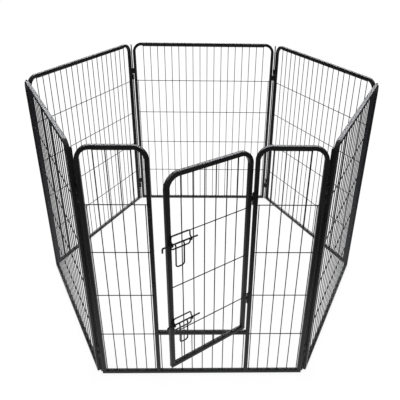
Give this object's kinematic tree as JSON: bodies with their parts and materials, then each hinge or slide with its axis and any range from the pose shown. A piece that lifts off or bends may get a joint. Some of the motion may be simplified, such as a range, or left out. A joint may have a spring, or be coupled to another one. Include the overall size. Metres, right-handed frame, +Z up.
{
  "type": "pet playpen",
  "caption": "Folding hexagonal pet playpen of square-tube and wire-mesh panels, with a side-hung door on slide bolts and lift-out corner pins.",
  "frame": {"origin": "middle of the front (door) panel's bottom rail, on the floor", "axes": "+Z up, +Y from the door panel into the pen, +X to the right seen from the front"},
  "size_m": [1.5466, 1.7081, 0.99],
  "materials": {
    "frame_coat": "hammered black powder coat",
    "wire_coat": "black powder coat",
    "hardware_coat": "black powder coat"
  },
  "bodies": {
    "front_panel": {"front_bottom_rail": "frame_coat", "front_threshold_rail": "frame_coat", "front_left_arch": "frame_coat", "front_right_arch": "frame_coat", "front_left_vertical_wires": "wire_coat", "front_right_vertical_wires": "wire_coat", "front_left_horizontal_wires": "wire_coat", "front_right_horizontal_wires": "wire_coat", "front_threshold_wires": "wire_coat", "front_hinge_straps": "hardware_coat", "bolt_keepers": "hardware_coat", "door_fixed_hinge_leaves": "hardware_coat", "door_hinge_pins": "hardware_coat"},
    "door": {"door_frame": "frame_coat", "door_bottom_rail": "frame_coat", "door_vertical_wires": "wire_coat", "door_horizontal_wires": "wire_coat", "door_moving_hinge_leaves": "hardware_coat", "upper_bolt_guide": "hardware_coat", "lower_bolt_guide": "hardware_coat"},
    "upper_bolt": {"upper_bolt_rod": "hardware_coat"},
    "upper_bolt_grip": {"upper_bolt_handle": "hardware_coat", "upper_bolt_hook": "hardware_coat"},
    "lower_bolt": {"lower_bolt_rod": "hardware_coat"},
    "lower_bolt_grip": {"lower_bolt_handle": "hardware_coat", "lower_bolt_hook": "hardware_coat"},
    "right_front_panel": {"right_front_frame": "frame_coat", "right_front_bottom_rail": "frame_coat", "right_front_vertical_wires": "wire_coat", "right_front_horizontal_wires": "wire_coat", "right_front_hinge_straps": "hardware_coat"},
    "right_back_panel": {"right_back_frame": "frame_coat", "right_back_bottom_rail": "frame_coat", "right_back_vertical_wires": "wire_coat", "right_back_horizontal_wires": "wire_coat", "right_back_hinge_straps": "hardware_coat"},
    "back_panel": {"back_frame": "frame_coat", "back_bottom_rail": "frame_coat", "back_vertical_wires": "wire_coat", "back_horizontal_wires": "wire_coat", "back_hinge_straps": "hardware_coat"},
    "left_back_panel": {"left_back_frame": "frame_coat", "left_back_bottom_rail": "frame_coat", "left_back_vertical_wires": "wire_coat", "left_back_horizontal_wires": "wire_coat", "left_back_hinge_straps": "hardware_coat"},
    "left_front_panel": {"left_front_frame": "frame_coat", "left_front_bottom_rail": "frame_coat", "left_front_vertical_wires": "wire_coat", "left_front_horizontal_wires": "wire_coat", "left_front_hinge_straps": "hardware_coat"},
    "pin_front_left": {"corner_pin_front_left": "hardware_coat"},
    "pin_front_right": {"corner_pin_front_right": "hardware_coat"},
    "pin_left": {"corner_pin_left": "hardware_coat"},
    "pin_right": {"corner_pin_right": "hardware_coat"},
    "pin_back_left": {"corner_pin_back_left": "hardware_coat"},
    "pin_back_right": {"corner_pin_back_right": "hardware_coat"}
  },
  "joints": [
    {"name": "fold_front_left", "type": "hinge", "parent": "front_panel", "child": "left_front_panel", "pos_m": [-0.4064, 0.0074, 0], "axis": [0, 0, 1], "range_deg": [-26, 31]},
    {"name": "fold_left", "type": "hinge", "parent": "left_front_panel", "child": "left_back_panel", "pos_m": [-0.76271, 0.73794, 0], "axis": [0, 0, -1], "range_deg": [-52, 62]},
    {"name": "fold_back_left", "type": "hinge", "parent": "left_back_panel", "child": "back_panel", "pos_m": [-0.4064, 1.46848, 0], "axis": [0, 0, 1], "range_deg": [-26, 31]},
    {"name": "fold_front_right", "type": "hinge", "parent": "front_panel", "child": "right_front_panel", "pos_m": [0.4064, 0.0074, 0], "axis": [0, 0, -1], "range_deg": [-26, 31]},
    {"name": "fold_right", "type": "hinge", "parent": "right_front_panel", "child": "right_back_panel", "pos_m": [0.76271, 0.73794, 0], "axis": [0, 0, 1], "range_deg": [-52, 62]},
    {"name": "door_swing", "type": "hinge", "parent": "front_panel", "child": "door", "pos_m": [0.165, -0.0105, 0], "axis": [0, 0, 1], "range_deg": [-36.3, 113.7]},
    {"name": "upper_bolt_slide", "type": "slide", "parent": "door", "child": "upper_bolt", "axis": [-0.8059, -0.592, 0], "range_m": [-0.021, 0.004]},
    {"name": "upper_bolt_turn", "type": "hinge", "parent": "upper_bolt", "child": "upper_bolt_grip", "pos_m": [-0.07465, -0.19101, 0.755], "axis": [-0.8059, -0.592, 0], "range_deg": [0, 120]},
    {"name": "lower_bolt_slide", "type": "slide", "parent": "door", "child": "lower_bolt", "axis": [-0.8059, -0.592, 0], "range_m": [-0.014, 0.011]},
    {"name": "lower_bolt_turn", "type": "hinge", "parent": "lower_bolt", "child": "lower_bolt_grip", "pos_m": [-0.07465, -0.19101, 0.44], "axis": [-0.8059, -0.592, 0], "range_deg": [0, 120]},
    {"name": "lift_pin_front_left", "type": "slide", "parent": "front_panel", "child": "pin_front_left", "axis": [0, 0, 1], "range_m": [0, 0.86]},
    {"name": "lift_pin_front_right", "type": "slide", "parent": "front_panel", "child": "pin_front_right", "axis": [0, 0, 1], "range_m": [0, 0.86]},
    {"name": "lift_pin_left", "type": "slide", "parent": "left_front_panel", "child": "pin_left", "axis": [0, 0, 1], "range_m": [0, 0.86]},
    {"name": "lift_pin_right", "type": "slide", "parent": "right_front_panel", "child": "pin_right", "axis": [0, 0, 1], "range_m": [0, 0.86]},
    {"name": "lift_pin_back_left", "type": "slide", "parent": "left_back_panel", "child": "pin_back_left", "axis": [0, 0, 1], "range_m": [0, 0.86]},
    {"name": "lift_pin_back_right", "type": "slide", "parent": "back_panel", "child": "pin_back_right", "axis": [0, 0, 1], "range_m": [0, 0.86]}
  ],
  "couplings": [
    {"joint": "fold_left", "follows": "fold_front_left", "ratio": 2},
    {"joint": "fold_back_left", "follows": "fold_front_left", "ratio": 1},
    {"joint": "fold_front_right", "follows": "fold_front_left", "ratio": 1},
    {"joint": "fold_right", "follows": "fold_front_left", "ratio": 2}
  ]
}
